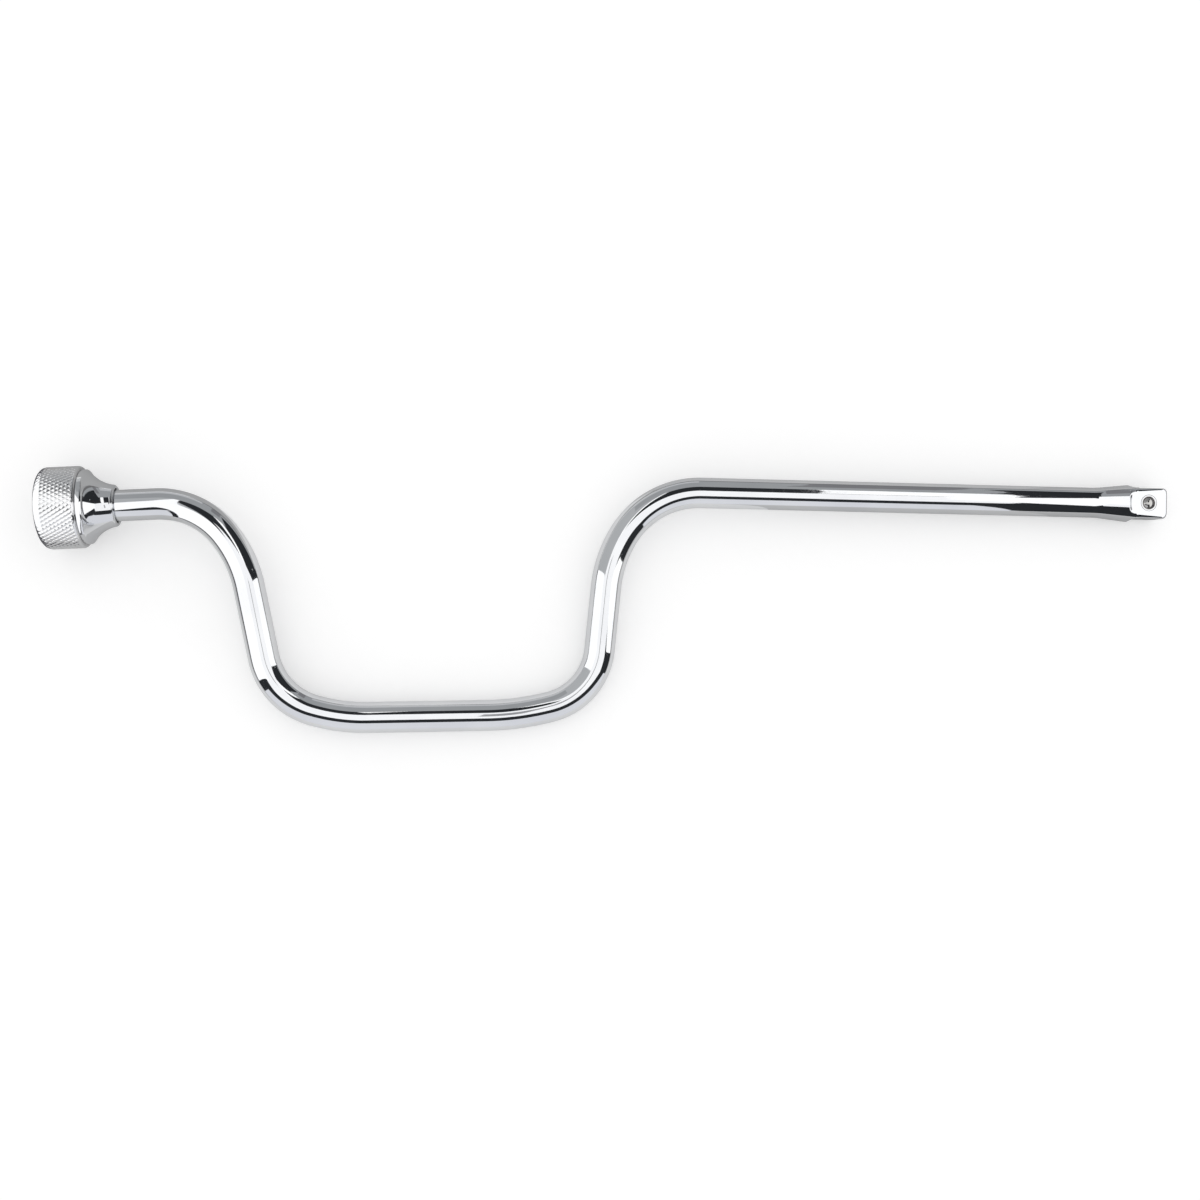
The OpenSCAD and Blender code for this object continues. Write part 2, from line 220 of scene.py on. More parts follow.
def rounded(corners, steps=6):
    """An outline through (radius, place, rounding) corners, with an arc at each rounded corner."""
    line = []
    last = len(corners) - 1
    for i, (radius, place, rounding) in enumerate(corners):
        here = Vector((radius, place))
        if rounding == 0 or i in (0, last):
            line.append(here)
            continue
        back = (Vector(corners[i - 1][:2]) - here).normalized()
        ahead = (Vector(corners[i + 1][:2]) - here).normalized()
        half = math.acos(max(-1.0, min(1.0, back.dot(ahead)))) / 2
        middle = here + (back + ahead).normalized() * rounding / math.sin(half)
        start = here + back * rounding / math.tan(half)
        end = here + ahead * rounding / math.tan(half)
        line.extend(arc(middle, start, end, rounding, steps))
    return line


def filled(line, longest):
    """The same outline with points added, so that no stretch of it is longer than longest."""
    points = [line[0]]
    for start, end in zip(line, line[1:]):
        count = max(1, math.ceil((end - start).length / longest))
        points.extend(start.lerp(end, n / count) for n in range(1, count + 1))
    return points


def turns(sides, gather=0.0):
    """Angles round an axis, gathered towards the corners of a square where gather is above 0."""
    even = [2 * math.pi * n / sides for n in range(sides)]
    return [a + gather * math.sin(4 * a) / 4 for a in even]


def axes_at(x, y, heading):
    """A frame whose first axis runs along a heading in the crank's plane, and whose third is +Z."""
    return Matrix.Translation((x, y, 0)) @ Matrix.Rotation(heading, 4, "Z")


def detent_axes(height):
    """A frame at the detent whose first axis runs up, along its hole."""
    return Matrix.Translation((-BALL_FROM_TIP, 0, height)) @ Matrix.Rotation(math.radians(-90), 4, "Y")


def ring(axes, place, radii, angles):
    """One ring of points about the first axis of a frame."""
    return [
        MM * (axes @ Vector((place, r * math.cos(a), r * math.sin(a))))
        for r, a in zip(radii, angles)
    ]


def loft(name, rings, loop=False):
    """A closed mesh over rings of points: end to end in a loop, or with a flat face at each end."""
    sides = len(rings[0])
    points = [p for points_of_ring in rings for p in points_of_ring]
    faces = []
    for j in range(len(rings) if loop else len(rings) - 1):
        low = j * sides
        high = (j + 1) % len(rings) * sides
        for n in range(sides):
            after = (n + 1) % sides
            faces.append((low + n, low + after, high + after, high + n))
    if not loop:
        faces.append(tuple(reversed(range(sides))))
        faces.append(tuple(range(len(points) - sides, len(points))))
    mesh = bpy.data.meshes.new(name)
    mesh.from_pydata(points, [], faces)
    mesh.update()
    piece = bpy.data.objects.new(name, mesh)
    bpy.context.scene.collection.objects.link(piece)
    return piece


def lathe(name, axes, outline, sides, loop=False):
    """A mesh turned from an outline of (radius, place) about the first axis of a frame."""
    angles = turns(sides)
    return loft(name, [ring(axes, p.y, [p.x] * sides, angles) for p in outline], loop)


def smooth(piece, sharp_above=SHARP_ABOVE):
    """Smooth shading, with edges kept sharp above an angle."""
    piece.data.shade_smooth()
    piece.data.set_sharp_from_angle(angle=math.radians(sharp_above))


def cut_out(piece, cutter):
    """Takes the cutter's space out of a piece for good, and removes the cutter."""
    step = piece.modifiers.new("cut", "BOOLEAN")
    step.operation = "DIFFERENCE"
    step.solver = "EXACT"
    step.object = cutter
    done = piece.evaluated_get(bpy.context.evaluated_depsgraph_get())
    mesh = bpy.data.meshes.new_from_object(done)
    piece.modifiers.clear()
    piece.data = mesh
    bpy.data.objects.remove(cutter)


def store_shade_and_grime(piece, rule):
    """Stores how much painted shade and grime each point of a piece holds, from 0 to 1, by a rule on its
    place.
    """
    shade_and_grime = piece.data.attributes.new("shade_and_grime", "FLOAT", "POINT")
    for point, entry in zip(piece.data.vertices, shade_and_grime.data):
        entry.value = rule(point.co / MM)


def bar_stations():
    """The bar's path as (x, y, heading) places at even steps, ending at the knob's mouth."""
    x, y, heading = 0.0, 0.0, math.pi
    places = []
    for size, turn in BAR_PATH:
        bend = math.radians(turn)
        run = size if turn == 0 else size * abs(bend)
        count = math.ceil(run / (STRAIGHT_STEP if turn == 0 else BEND_STEP))
        side = math.copysign(size, turn)
        for n in range(1, count + 1):
            share = n / count
            if turn == 0:
                places.append((
                    x + size * share * math.cos(heading),
                    y + size * share * math.sin(heading),
                    heading,
                ))
            else:
                ahead = heading + bend * share
                places.append((
                    x + side * (math.sin(ahead) - math.sin(heading)),
                    y - side * (math.cos(ahead) - math.cos(heading)),
                    ahead,
                ))
        x, y, heading = places[-1]
    return places


STATIONS = bar_stations()
DRIVE_AXES = axes_at(0, 0, math.pi)
KNOB_AXES = axes_at(*STATIONS[-1])
TO_KNOB = KNOB_AXES.inverted()


def knob_place(point):
    """A point's place along the knob's axis from the mouth, and its distance from that axis."""
    local = TO_KNOB @ point
    return local.x, math.hypot(local.y, local.z)


def flare_start():
    """Where the flare leaves the bar, measured from the tip."""
    a = math.radians(FLARE_A)
    top_r = CREST_R - CREST_ROUND * (1 - math.cos(a))
    return DRIVE_LEN + CREST_ROUND * math.sin(a) + (top_r - BAR_R) / math.tan(a)


def flare_radius(place):
    """The turned radius past the crest: the round crest, then the flare down to the bar."""
    flare = math.radians(FLARE_A)
    middle_r = CREST_R - CREST_ROUND
    off = place - DRIVE_LEN
    if off < CREST_ROUND * math.sin(flare):
        return middle_r + math.sqrt(CREST_ROUND * CREST_ROUND - off * off)
    top_r = middle_r + CREST_ROUND * math.cos(flare)
    return soft_max(BAR_R, top_r - (off - CREST_ROUND * math.sin(flare)) * math.tan(flare), FILLET_SOFT)


def tip_fall(place, length, depth):
    """How far a surface falls away at the tip, on a quarter of an ellipse of that length and depth."""
    share = max(1 - place / length, 0.0)
    return depth * (1 - math.sqrt(1 - share * share))


def flat_end(a):
    """Where the square's flat at an angle ends, from the tip: its end has round corners."""
    near, far = sorted((abs(math.cos(a)), abs(math.sin(a))))
    longest = SIDE_FLAT_END if abs(math.cos(a)) == far else FLAT_END
    share = min(FLAT * near / far / FLAT_END_HALF, 1.0)
    return longest - FLAT_END_ROUND * (1 - (1 - share ** FLAT_END_POWER) ** (1 / FLAT_END_POWER))


def drive_profile():
    """The drive's turned outline as (radius, place) points, from the tip face to the end of the flare."""
    swing = [math.pi / 2 * n / EDGE_STEPS for n in range(EDGE_STEPS)]
    edge = [Vector((CORNER_TIP_R, TIP_EDGE * (1 - math.cos(a)))) for a in swing]
    corner = rounded([
        (CORNER_TIP_R, TIP_EDGE, 0),
        (CORNER_ROOT_R, CORNER_ROOT, CORNER_ROUND),
        (CREST_R, DRIVE_LEN, 0),
    ], steps=EDGE_STEPS)
    end = flare_start() + FILLET_SOFT / math.tan(math.radians(FLARE_A))
    flare = filled([Vector((0, DRIVE_LEN)), Vector((0, end))], DRIVE_STEP)
    return edge + filled(corner, DRIVE_STEP) + [Vector((flare_radius(p.y), p.y)) for p in flare[1:]]


def drive_rings(profile, angles):
    """Rings from the tip face to the end of the flare: a turned end with four flats cut into it."""
    rings = []
    for outline_r, place in profile:
        turned_r = outline_r - tip_fall(place, TIP_ROUND, TIP_SET)
        flat = FLAT - tip_fall(place, TIP_EDGE, TIP_EDGE)
        radii = []
        for a in angles:
            cut_r = soft_min(flat / max(abs(math.cos(a)), abs(math.sin(a))), turned_r, EDGE_SOFT)
            ends = flat_end(a)
            whole = smooth_step(ends - FLAT_END_WALL / 2, ends + FLAT_END_WALL / 2, place)
            radii.append(cut_r + (turned_r - cut_r) * whole)
        rings.append(ring(DRIVE_AXES, place, radii, angles))
    return rings


def tail_rings(angles):
    """Rings of the bar inside the knob: the ring's groove, the end and the thrust ball's pocket."""
    low, high = RING_GROOVE
    outline = [
        (BAR_R, BUSHING_K),
        (BAR_R, low),
        (RING_GROOVE_R, low),
        (RING_GROOVE_R, high),
        (BAR_R, high),
        (BAR_R, BAR_END_K - BAR_END_CHAMFER),
        (BAR_R - BAR_END_CHAMFER, BAR_END_K),
        (POCKET_R, BAR_END_K),
        (POCKET_R, POCKET_K),
    ]
    return [ring(KNOB_AXES, k, [r] * len(angles), angles) for r, k in outline]


def make_hole_cutters():
    """What the detent's hole takes away: the blind hole with the staked lip's mouth, and the ring mark."""
    axes = detent_axes(0)
    over = FLAT + CUT_OVER
    hole = [
        (HOLE_R, HOLE_Z),
        (HOLE_R, FLAT - LIP_T),
        (LIP_R, FLAT - LIP_T),
        (LIP_R, FLAT - LIP_EDGE),
        (LIP_R + LIP_EDGE / 3, FLAT - LIP_EDGE / 3),
        (LIP_R + LIP_EDGE, FLAT),
        (LIP_R + LIP_EDGE, over),
    ]
    mark = [
        (STAKE_R, over),
        (STAKE_R + STAKE_W / 4, FLAT - STAKE_DEPTH),
        (STAKE_R + 3 * STAKE_W / 4, FLAT - STAKE_DEPTH),
        (STAKE_R + STAKE_W, over),
    ]
    mouth = lathe("hole_cutter", axes, [Vector(p) for p in hole], HOLE_SIDES)
    groove = lathe("mark_cutter", axes, [Vector(p) for p in mark], HOLE_SIDES, loop=True)
    return mouth, groove


def mouth_shade_and_grime(point):
    """Painted shade and grime where the bar goes into the collar's mouth."""
    return smooth_step(MOUTH_K - MOUTH_SHADE_REACH, MOUTH_K + MOUTH_SHADE_REACH, knob_place(point)[0])


def detent_shade_and_grime(point):
    """Painted shade and grime in the upper part of the detent's hole, about its lip and in the ring mark.
    """
    off = math.hypot(point.x + BALL_FROM_TIP, point.y)
    if point.z < FLAT - HOLE_SHADE_DEPTH or off > STAKE_R + STAKE_W:
        return 0.0
    return max(smooth_step(0.0, STAKE_DEPTH, FLAT - point.z), 1 - smooth_step(LIP_R, LIP_R + LIP_T, off))


def make_bar():
    """The whole bent bar as one mesh, from the tip of the drive to the pocket in its other end."""
    angles = turns(BAR_SIDES, BAR_GATHER)
    profile = drive_profile()
    rings = drive_rings(profile, angles)
    for x, y, heading in STATIONS:
        if -x > profile[-1].y + STRAIGHT_STEP / 2:
            rings.append(ring(axes_at(x, y, heading), 0, [BAR_R] * BAR_SIDES, angles))
    rings.extend(tail_rings(angles))
    bar = loft("bar", rings)
    for cutter in make_hole_cutters():
        cut_out(bar, cutter)
    smooth(bar)
    # Painted shade and grime at the collar's mouth and about the detent's hole
    store_shade_and_grime(bar, lambda p: max(mouth_shade_and_grime(p), detent_shade_and_grime(p)))
    return bar


def collar_shade_and_grime(point):
    """Painted shade and grime inside the collar's mouth, and in the corner behind its flange."""
    place, radius = knob_place(point)
    mouth = 1 - smooth_step(MOUTH_R, MOUTH_R + MOUTH_CHAMFER, radius)
    seam = smooth_step(RIM_K - FLANGE_EDGE, RIM_K, place)
    return max(mouth if place < BUSHING_K else 0.0, seam)


def make_collar():
    """The collar: its round lip, hollow flare, flange and spigot, bored for the bar and the bushing."""
    lip_end = MOUTH_K + LIP_ROUND
    lip = rounded([
        (MOUTH_R, MOUTH_K + 2 * MOUTH_CHAMFER, 0),
        (MOUTH_R + MOUTH_CHAMFER, MOUTH_K, MOUTH_CHAMFER / 4),
        (NECK_R, MOUTH_K, LIP_ROUND * LIP_SHARE),
        (NECK_R, lip_end, 0),
    ], steps=LIP_STEPS)
    flare = arc_through(Vector((NECK_R, lip_end)), Vector((BELL_R, FLARE_LEN)), FLARE_R, FLARE_STEPS)
    flange = rounded([
        (BELL_R, FLARE_LEN, 0),
        (FLANGE_R, FLARE_LEN + FLANGE_CHAMFER, FLANGE_EDGE),
        (FLANGE_R, RIM_K, FLANGE_EDGE),
        (SPIGOT_R, RIM_K, 0),
        (SPIGOT_R, SPIGOT_K - SPIGOT_CHAMFER, 0),
        (SPIGOT_R - SPIGOT_CHAMFER, SPIGOT_K, 0),
        (BUSHING_SEAT_R, SPIGOT_K, 0),
        (BUSHING_SEAT_R, BUSHING_K, 0),
        (MOUTH_R, BUSHING_K, 0),
    ])
    collar = lathe("collar", KNOB_AXES, lip + flare[1:] + flange[1:], KNOB_SIDES, loop=True)
    smooth(collar)
    # Painted shade and grime inside the mouth and behind the flange
    store_shade_and_grime(collar, collar_shade_and_grime)
    return collar


def knurl_height(place, angle):
    """Height of the knurl, from 0 in its deeper grooves to 1 on a diamond's top."""
    around = KNURL_COUNT * angle / (2 * math.pi)
    along = (CAP_END_K - CAP_ROUND - place) / KNURL_PITCH
    height = 1.0
    for lines, depth in ((around - along, 1.0), (around + along, KNURL_CROSS)):
        off = min(2 * abs(lines - round(lines)) / KNURL_WIDE, 1.0)
        height = soft_min(height, 1 - depth * (1 + math.cos(math.pi * off)) / 2, KNURL_SOFT)
    return height


def cap_shade_and_grime(point):
    """Painted shade and grime on the floor of the knurl's grooves, and at the seam with the collar."""
    place, radius = knob_place(point)
    seam = 1 - smooth_step(RIM_K, RIM_K + RIM_ROUND / 3, place)
    if not RIM_K + RIM_ROUND < place < CAP_END_K - CAP_ROUND:
        return seam
    return 1 - smooth_step(KNOB_R - KNURL_DEPTH, KNOB_R - KNURL_DEPTH / 2, radius)


def make_cap():
    """The knurled cap, hollow for the collar's spigot, with the thrust disc's seat in its floor."""
    sides = KNURL_COUNT * KNURL_GRID
    angles = turns(sides)
    skin = filled(rounded([
        (CAP_BORE_R, RIM_K, 0),
        (KNOB_R, RIM_K, RIM_ROUND),
        (KNOB_R, CAP_END_K, CAP_ROUND),
        (CAP_BORE_R / 2, CAP_END_K, 0),
    ], steps=CAP_STEPS), KNURL_PITCH / KNURL_GRID)
    rings = []
    for radius, place in skin:
        deep = smooth_step(KNURL_LOW, KNURL_LOW + KNURL_FADE, place)
        deep *= 1 - smooth_step(KNURL_HIGH - KNURL_FADE, KNURL_HIGH + KNURL_FADE, place)
        plain = KNURL_DEPTH / 2 * smooth_step(CAP_BORE_R, KNOB_R - RIM_ROUND, radius)
        radii = []
        for a in angles:
            drop = KNURL_DEPTH * (1 - knurl_height(place, a))
            radii.append(radius - plain - (drop - plain) * deep)
        rings.append(ring(KNOB_AXES, place, radii, angles))
    inside = [
        (DISC_SEAT_R, CAP_FLOOR_K + DISC_SEAT),
        (DISC_SEAT_R, CAP_FLOOR_K),
        (CAP_BORE_R, CAP_FLOOR_K),
    ]
    bore = [ring(KNOB_AXES, k, [r] * sides, angles) for r, k in inside]
    cap = loft("cap", bore + rings)
    smooth(cap, KNURL_SHARP_ABOVE)
    # Painted shade and grime in the knurl's grooves and at the seam
    store_shade_and_grime(cap, cap_shade_and_grime)
    return cap


def make_ball():
    """The detent ball, turned about its hole's axis, with a tiny flat at each pole to close it."""
    lean = [math.pi * (n + POLE_GAP) / (BALL_STEPS + 2 * POLE_GAP) for n in range(BALL_STEPS + 1)]
    outline = [Vector((BALL_R * math.sin(a), -BALL_R * math.cos(a))) for a in lean]
    ball = lathe("ball", detent_axes(BALL_Z), outline, BALL_SIDES)
    smooth(ball)
    return ball


# Noise in the finishes: most of it lies between these two values, and these are its scales per metre
NOISE_LOW = 0.3
NOISE_HIGH = 0.7
CLOUD_SCALE = 60
PATCH_SCALE = 400


class Nodes:
    """A material's node tree, with short ways to add and join nodes."""

    def __init__(self, name):
        self.material = bpy.data.materials.new(name)
        self.material.use_nodes = True
        self.tree = self.material.node_tree
        self.shader = self.tree.nodes["Principled BSDF"]

    def add(self, kind, **settings):
        """A new node: settings are its own, or inputs where the name matches one."""
        node = self.tree.nodes.new(kind)
        for key, value in settings.items():
            label = key.replace("_", " ").title()
            if label in node.inputs:
                node.inputs[label].default_value = value
            else:
                setattr(node, key, value)
        return node

    def join(self, source, target):
        """Links one node's output to another's input."""
        self.tree.links.new(source, target)

    def noise(self, scale, detail=3.0):
        """Noise over the piece's own coordinates, in metres."""
        place = self.add("ShaderNodeTexCoord").outputs["Object"]
        node = self.add("ShaderNodeTexNoise", scale=scale, detail=detail)
        self.join(place, node.inputs["Vector"])
        return node.outputs["Fac"]

    def spread(self, factor, low, high, start=NOISE_LOW, end=NOISE_HIGH):
        """A factor from start to end turned into a value from low to high."""
        node = self.add("ShaderNodeMapRange", from_min=start, from_max=end, to_min=low, to_max=high)
        self.join(factor, node.inputs["Value"])
        return node.outputs["Result"]

    def blend(self, factor, first, second):
        """A colour between two, each a plain colour or another node's, by a factor."""
        node = self.add("ShaderNodeMix", data_type="RGBA")
        ends = [plug for plug in node.inputs if plug.type == "RGBA"]
        for plug, colour in zip(ends, (first, second)):
            if isinstance(colour, tuple):
                plug.default_value = (*colour, 1)
            else:
                self.join(colour, plug)
        self.join(factor, node.inputs["Factor"])
        return [plug for plug in node.outputs if plug.type == "RGBA"][0]

    def times(self, first, second):
        """The product of two values."""
        node = self.add("ShaderNodeMath", operation="MULTIPLY")
        self.join(first, node.inputs[0])
        self.join(second, node.inputs[1])
        return node.outputs["Value"]

    def bump(self, *heights):
        """Relief from (height, depth in millimetres) pairs, the first undermost."""
        normal = None
        for height, depth in heights:
            node = self.add("ShaderNodeBump", strength=1.0, distance=depth * MM)
            self.join(height, node.inputs["Height"])
            if normal:
                self.join(normal, node.inputs["Normal"])
            normal = node.outputs["Normal"]
        self.join(normal, self.shader.inputs["Normal"])


def metal(name, dark, light, rough, grain, waves, shade_and_grime=0.0):
    """A metal: colour and gloss wander between two values, over a fine grain and slow waves.

    Grain and waves are each a noise scale and a depth in millimetres. Painted shade and grime, in one dark
    brown, lie where the piece's own points hold them, broken up in patches, up to the share given.
    """
    nodes = Nodes(name)
    shader = nodes.shader.inputs
    shader["Metallic"].default_value = 1.0
    grain_scale, grain_depth = grain
    wave_scale, wave_depth = waves
    clouds = nodes.noise(CLOUD_SCALE, detail=4)
    specks = nodes.noise(grain_scale, detail=2)
    colour = nodes.blend(nodes.spread(clouds, 0, 1), dark, light)
    # Painted shade and grime: a dark brown laid where the piece's points hold it, in noisy patches
    if shade_and_grime:
        held = nodes.add("ShaderNodeAttribute", attribute_name="shade_and_grime").outputs["Fac"]
        patches = nodes.spread(nodes.noise(PATCH_SCALE), shade_and_grime / 2, shade_and_grime)
        colour = nodes.blend(nodes.times(held, patches), colour, SHADE_AND_GRIME)
    nodes.join(colour, shader["Base Color"])
    nodes.join(nodes.spread(specks, *rough), shader["Roughness"])
    nodes.bump((nodes.noise(wave_scale, detail=1), wave_depth), (specks, grain_depth))
    return nodes.material


# The finish of each slot of the record; in the chromes, the last value is the most painted shade and grime
# they take in recesses and seams
FINISHES = {
    "chrome_bar": {
        "dark": (0.78, 0.79, 0.81),
        "light": (0.84, 0.85, 0.86),
        "rough": (0.02, 0.06),
        "grain": (900, 0.0002),
        "waves": (90, 0.01),
        "shade_and_grime": 0.9,
    },
    "chrome_collar": {
        "dark": (0.76, 0.77, 0.79),
        "light": (0.83, 0.84, 0.85),
        "rough": (0.03, 0.08),
        "grain": (900, 0.0004),
        "waves": (160, 0.02),
        "shade_and_grime": 0.9,
    },
    "chrome_knurl": {
        "dark": (0.78, 0.79, 0.80),
        "light": (0.86, 0.86, 0.87),
        "rough": (0.06, 0.14),
        "grain": (2500, 0.001),
        "waves": (300, 0.01),
        "shade_and_grime": 0.3,
    },
    "bronze": {
        "dark": (0.47, 0.28, 0.12),
        "light": (0.62, 0.40, 0.19),
        "rough": (0.28, 0.42),
        "grain": (1500, 0.002),
        "waves": (200, 0.004),
    },
    "ground_steel": {
        "dark": (0.42, 0.43, 0.45),
        "light": (0.54, 0.55, 0.56),
        "rough": (0.18, 0.34),
        "grain": (2200, 0.003),
        "waves": (200, 0.002),
    },
    "spring_steel": {
        "dark": (0.16, 0.15, 0.15),
        "light": (0.27, 0.27, 0.30),
        "rough": (0.22, 0.40),
        "grain": (1600, 0.003),
        "waves": (200, 0.002),
    },
    "ball_steel": {
        "dark": (0.50, 0.49, 0.48),
        "light": (0.66, 0.65, 0.63),
        "rough": (0.06, 0.16),
        "grain": (1800, 0.002),
        "waves": (400, 0.004),
    },
}


def paint(piece, material):
    """Gives a piece one material, in place of any that it has."""
    piece.data.materials.clear()
    piece.data.materials.append(material)


def dress():
    """Makes the fine pieces, puts each on its body and paints them and the frame's own pieces."""
    materials = {slot: metal(slot, **finish) for slot, finish in FINISHES.items()}
    for make, node, body, slot in (
        (make_bar, "crank_bar", "crank", "chrome_bar"),
        (make_collar, "knob_collar", "knob", "chrome_collar"),
        (make_cap, "knob_cap", "knob", "chrome_knurl"),
        (make_ball, "detent_ball", "detent", "ball_steel"),
    ):
        piece = make()
        paint(piece, materials[slot])
        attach(piece, body)
        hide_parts(node)
    for node, slot in (
        ("collar_bushing", "bronze"),
        ("thrust_washer", "ground_steel"),
        ("thrust_disc", "ground_steel"),
        ("retaining_ring", "spring_steel"),
        ("detent_spring", "spring_steel"),
        ("thrust_ball", "ball_steel"),
    ):
        paint(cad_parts[node], materials[slot])


# Studio: how bright each kind of card is, where 1 is white
WHITE = (1.25, 1.25, 1.25)
PALE = (1.12, 1.12, 1.13)
LILAC = (0.79, 0.80, 0.84)
LIGHT_GREY = (0.56, 0.57, 0.58)
MID_GREY = (0.48, 0.49, 0.50)
GREY = (0.36, 0.37, 0.38)
LENS_GREY = (0.36, 0.36, 0.37)
DIM_GREY = (0.22, 0.22, 0.23)
DARK_GREY = (0.11, 0.11, 0.12)
BLACK = (0.025, 0.027, 0.03)

# Studio: heights, and where the main cards stand
FLOOR_Z = -20
CEILING_Z = 470
FAR_Z = 3000
LEFT_X = -466
LEFT_LOW = 8
RIGHT_X = 60
RIGHT_LOW = 28
WALL_Y = 1200
WALL_BOTTOM = -200
WALL_LOW = 200
WALL_TOP = 1300
DARK_X = 2500


def upright(start, end, low, high):
    """Corners of a card that stands on a line from start to end, between two heights."""
    return [(*start, low), (*end, low), (*end, high), (*start, high)]


def level(*corners, height=CEILING_Z):
    """Corners of a card that lies level at one height."""
    return [(x, y, height) for x, y in corners]


def box(low, high):
    """The four corners of a rectangle."""
    return [low, (high[0], low[1]), high, (low[0], high[1])]


# Cards by name, brightness and corners
CARDS = [
    ("left_card", WHITE, upright((LEFT_X, -127), (LEFT_X, 24), LEFT_LOW, CEILING_Z)),
    ("left_foot", DARK_GREY, upright((LEFT_X, -127), (LEFT_X, 24), FLOOR_Z, LEFT_LOW)),
    ("right_card", WHITE, [
        (RIGHT_X, -106, RIGHT_LOW),
        (RIGHT_X, 108, RIGHT_LOW),
        (RIGHT_X, 108, CEILING_Z),
        (RIGHT_X, -66, CEILING_Z),
        (RIGHT_X, -106, 270),
    ]),
    ("right_foot", DARK_GREY, upright((RIGHT_X, -106), (RIGHT_X, 108), FLOOR_Z, RIGHT_LOW)),
    ("front_card", LILAC, [
        (-900, -150, FLOOR_Z),
        (200, -150, FLOOR_Z),
        (200, -380, 347),
        (-900, -380, 347),
    ]),
    ("top_card", PALE, level(
        (-570, -235), (127, -235), (127, 105), (-395, 105), (-417, 43), (-440, 20), (-570, 20))),
    ("lens_slot", LENS_GREY, level(*box((-288, -115), (-258, 15)), height=CEILING_Z - 2)),
    ("left_flag", BLACK, upright((LEFT_X - 1, -151), (LEFT_X + 1, -127), FLOOR_Z, 112)),
    ("right_flag", BLACK, upright((-3, -172), (RIGHT_X, -106), FLOOR_Z, 190)),
    ("far_strip_left", WHITE, level((-1406, 300), (-1000, 300), (-640, 2830), (-850, 2830), height=FAR_Z)),
    ("far_strip_right", WHITE, level((570, 750), (1088, 750), (1466, 2790), (800, 2790), height=FAR_Z)),
    ("far_grey", MID_GREY, level(*box((-6000, 250), (-820, 3600)), height=FAR_Z + 50)),
    ("wall_left", MID_GREY, [
        (-560, 36, FLOOR_Z),
        (-1100, WALL_Y, FLOOR_Z),
        (-1100, WALL_Y, WALL_TOP),
        (-560, 36, CEILING_Z),
    ]),
    ("wall_foot", LIGHT_GREY, upright((-3000, WALL_Y), (-60, WALL_Y), WALL_BOTTOM, WALL_LOW)),
    ("wall_foot_right", GREY, upright((-60, WALL_Y), (DARK_X, WALL_Y), WALL_BOTTOM, WALL_LOW)),
    ("wall_low_right", DIM_GREY, upright((120, WALL_Y - 1), (330, WALL_Y - 1), WALL_BOTTOM, 600)),
    ("wall", GREY, [
        (-3000, WALL_Y + 1, WALL_LOW),
        (355, WALL_Y + 1, WALL_LOW),
        (560, WALL_Y + 1, WALL_TOP),
        (-3000, WALL_Y + 1, WALL_TOP),
    ]),
    ("dark_back", BLACK, [
        (355, WALL_Y + 2, WALL_LOW),
        (DARK_X, WALL_Y + 2, WALL_LOW),
        (DARK_X, WALL_Y + 2, WALL_TOP),
        (560, WALL_Y + 2, WALL_TOP),
    ]),
    ("dark_side", BLACK, upright((DARK_X, WALL_Y + 2), (DARK_X, -1500), -400, 2500)),
    ("dark_ceiling", BLACK, level(*box((-7000, -4200), (6000, 3700)), height=FAR_Z + 200)),
]


def glow(name, colour):
    """A card's own even light, or the little that a dark cloth gives back."""
    material = bpy.data.materials.new(name)
    material.use_nodes = True
    tree = material.node_tree
    tree.nodes.clear()
    light = tree.nodes.new("ShaderNodeEmission")
    light.inputs["Color"].default_value = (*colour, 1)
    out = tree.nodes.new("ShaderNodeOutputMaterial")
    tree.links.new(light.outputs["Emission"], out.inputs["Surface"])
    return material


def stage_mesh(name, corners, material):
    """A flat face of the studio, from corners in millimetres."""
    mesh = bpy.data.meshes.new(name)
    mesh.from_pydata([MM * Vector(p) for p in corners], [], [tuple(range(len(corners)))])
    thing = bpy.data.objects.new(name, mesh)
    bpy.context.scene.collection.objects.link(thing)
    thing.data.materials.append(material)
    return thing


def only_mirrored(thing):
    """Lets a card show in reflections alone, so that it neither shades nor lights the floor."""
    thing.visible_camera = False
    thing.visible_diffuse = False
    thing.visible_shadow = False


def make_cards():
    """The cards that the chrome mirrors, and the dark cloth above them."""
    for name, colour, corners in CARDS:
        only_mirrored(stage_mesh(name, corners, glow(name, colour)))


# Floor: the part rests on it with the knob's rim, the drive's crest and the grip
FLOOR_AT_TIP = -7.31
FLOOR_RISE_X = 0.0226
FLOOR_RISE_Y = -0.0845
FLOOR_REACH = 1500
FLOOR_TONE = 0.86
FLOOR_GLOW = 0.26
AMBIENT = 0.9


def is_seen(tree):
    """1 for rays from the camera, and for those that metal or glass sends on; 0 for others."""
    path = tree.nodes.new("ShaderNodeLightPath")
    seen = path.outputs["Is Camera Ray"]
    for kind in ("Is Glossy Ray", "Is Transmission Ray"):
        either = tree.nodes.new("ShaderNodeMath")
        either.operation = "MAXIMUM"
        tree.links.new(seen, either.inputs[0])
        tree.links.new(path.outputs[kind], either.inputs[1])
        seen = either.outputs["Value"]
    return seen


def on_floor(corners, lift=0.0):
    """Points above some (x, y) corners, on the sloping floor or a little over it."""
    return [(x, y, FLOOR_AT_TIP + FLOOR_RISE_X * x + FLOOR_RISE_Y * y + lift) for x, y in corners]


def about_aim(reach):
    """Corners of a square about the middle of the view."""
    return box((AIM[0] - reach, AIM[1] - reach), (AIM[0] + reach, AIM[1] + reach))


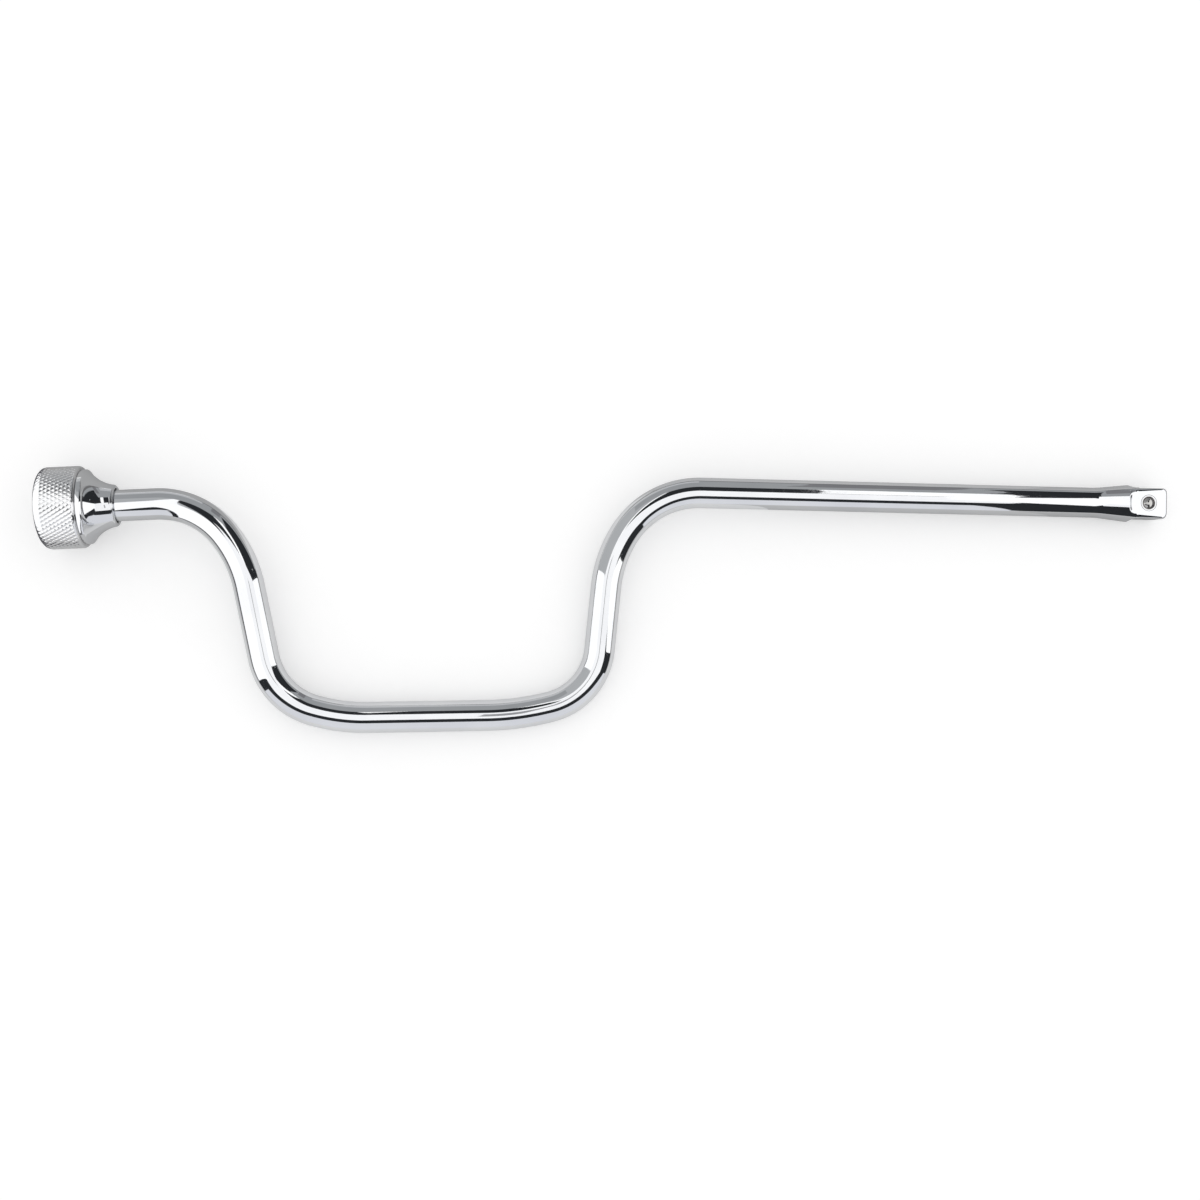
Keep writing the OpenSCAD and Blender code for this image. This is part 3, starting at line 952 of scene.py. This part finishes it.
# Sheets of painted floor shade, seen only by the chrome, by name, tone, corners and layer, the highest
# layer on top
SHEET_REACH = 420
SHEET_LIFT = 0.1
FLOOR_SHADE_SHEETS = [
    ("pale_sheet", 0.85, about_aim(SHEET_REACH), 1),
    ("knob_sheet", 0.48, box((-600, 2), (-330, 300)), 2),
    ("knob_front_sheet", 0.64, box((-600, -200), (-412, 2)), 2),
    ("shank_sheet", 0.62, box((-230, 0), (260, 640)), 2),
    ("shank_front_sheet", 0.62, box((-165, -140), (260, 0)), 2),
    ("drive_sheet", 0.52, box((-45, -60), (60, 60)), 3),
    ("gap_sheet", 0.42, box((-330, 40), (-230, 140)), 3),
    ("far_sheet", 0.2, box((-330, 140), (1200, 1190)), 3),
]


def matt(name, tone):
    """Nodes for a dull surface of one tone of grey."""
    nodes = Nodes(name)
    shader = nodes.shader.inputs
    shader["Base Color"].default_value = (tone, tone, tone, 1)
    shader["Roughness"].default_value = 1.0
    shader["Specular IOR Level"].default_value = 0.0
    return nodes


def make_floor():
    """A wide pale floor that shows white and keeps the part's shadow."""
    nodes = matt("floor", FLOOR_TONE)
    shader = nodes.shader.inputs
    shader["Emission Color"].default_value = (1, 1, 1, 1)
    strength = nodes.spread(is_seen(nodes.tree), 0.0, FLOOR_GLOW, start=0.0, end=1.0)
    nodes.join(strength, shader["Emission Strength"])
    stage_mesh("floor", on_floor(about_aim(FLOOR_REACH)), nodes.material)


def make_floor_shade_sheets():
    """Sheets of painted floor shade in several greys, which only the chrome shows."""
    for name, tone, corners, layer in FLOOR_SHADE_SHEETS:
        only_mirrored(stage_mesh(name, on_floor(corners, layer * SHEET_LIFT), matt(name, tone).material))


def make_world():
    """An even white surround, which lights the floor from all round."""
    world = bpy.data.worlds.new("surround")
    world.use_nodes = True
    tree = world.node_tree
    back = tree.nodes["Background"]
    back.inputs["Color"].default_value = (1, 1, 1, 1)
    strength = tree.nodes.new("ShaderNodeMapRange")
    strength.inputs["To Min"].default_value = AMBIENT
    strength.inputs["To Max"].default_value = 1.0
    tree.links.new(is_seen(tree), strength.inputs["Value"])
    tree.links.new(strength.outputs["Result"], back.inputs["Strength"])
    bpy.context.scene.world = world


def make_camera():
    """The camera, above the part and leaning towards the knob."""
    data = bpy.data.cameras.new("camera")
    data.lens = LENS
    data.sensor_width = SENSOR
    data.clip_start = MM * CLIP_NEAR
    data.clip_end = MM * CLIP_FAR
    camera = bpy.data.objects.new("camera", data)
    bpy.context.scene.collection.objects.link(camera)
    camera.matrix_world = (
        Matrix.Translation(MM * Vector(AIM))
        @ Matrix.Rotation(math.radians(VIEW_ROLL), 4, "Z")
        @ Matrix.Rotation(math.radians(-VIEW_LEAN), 4, "Y")
        @ Matrix.Translation((0, 0, MM * VIEW_DISTANCE))
    )
    bpy.context.scene.camera = camera


dress()
make_cards()
make_floor()
make_floor_shade_sheets()
make_world()
make_camera()
bpy.context.scene.view_settings.view_transform = "Standard"
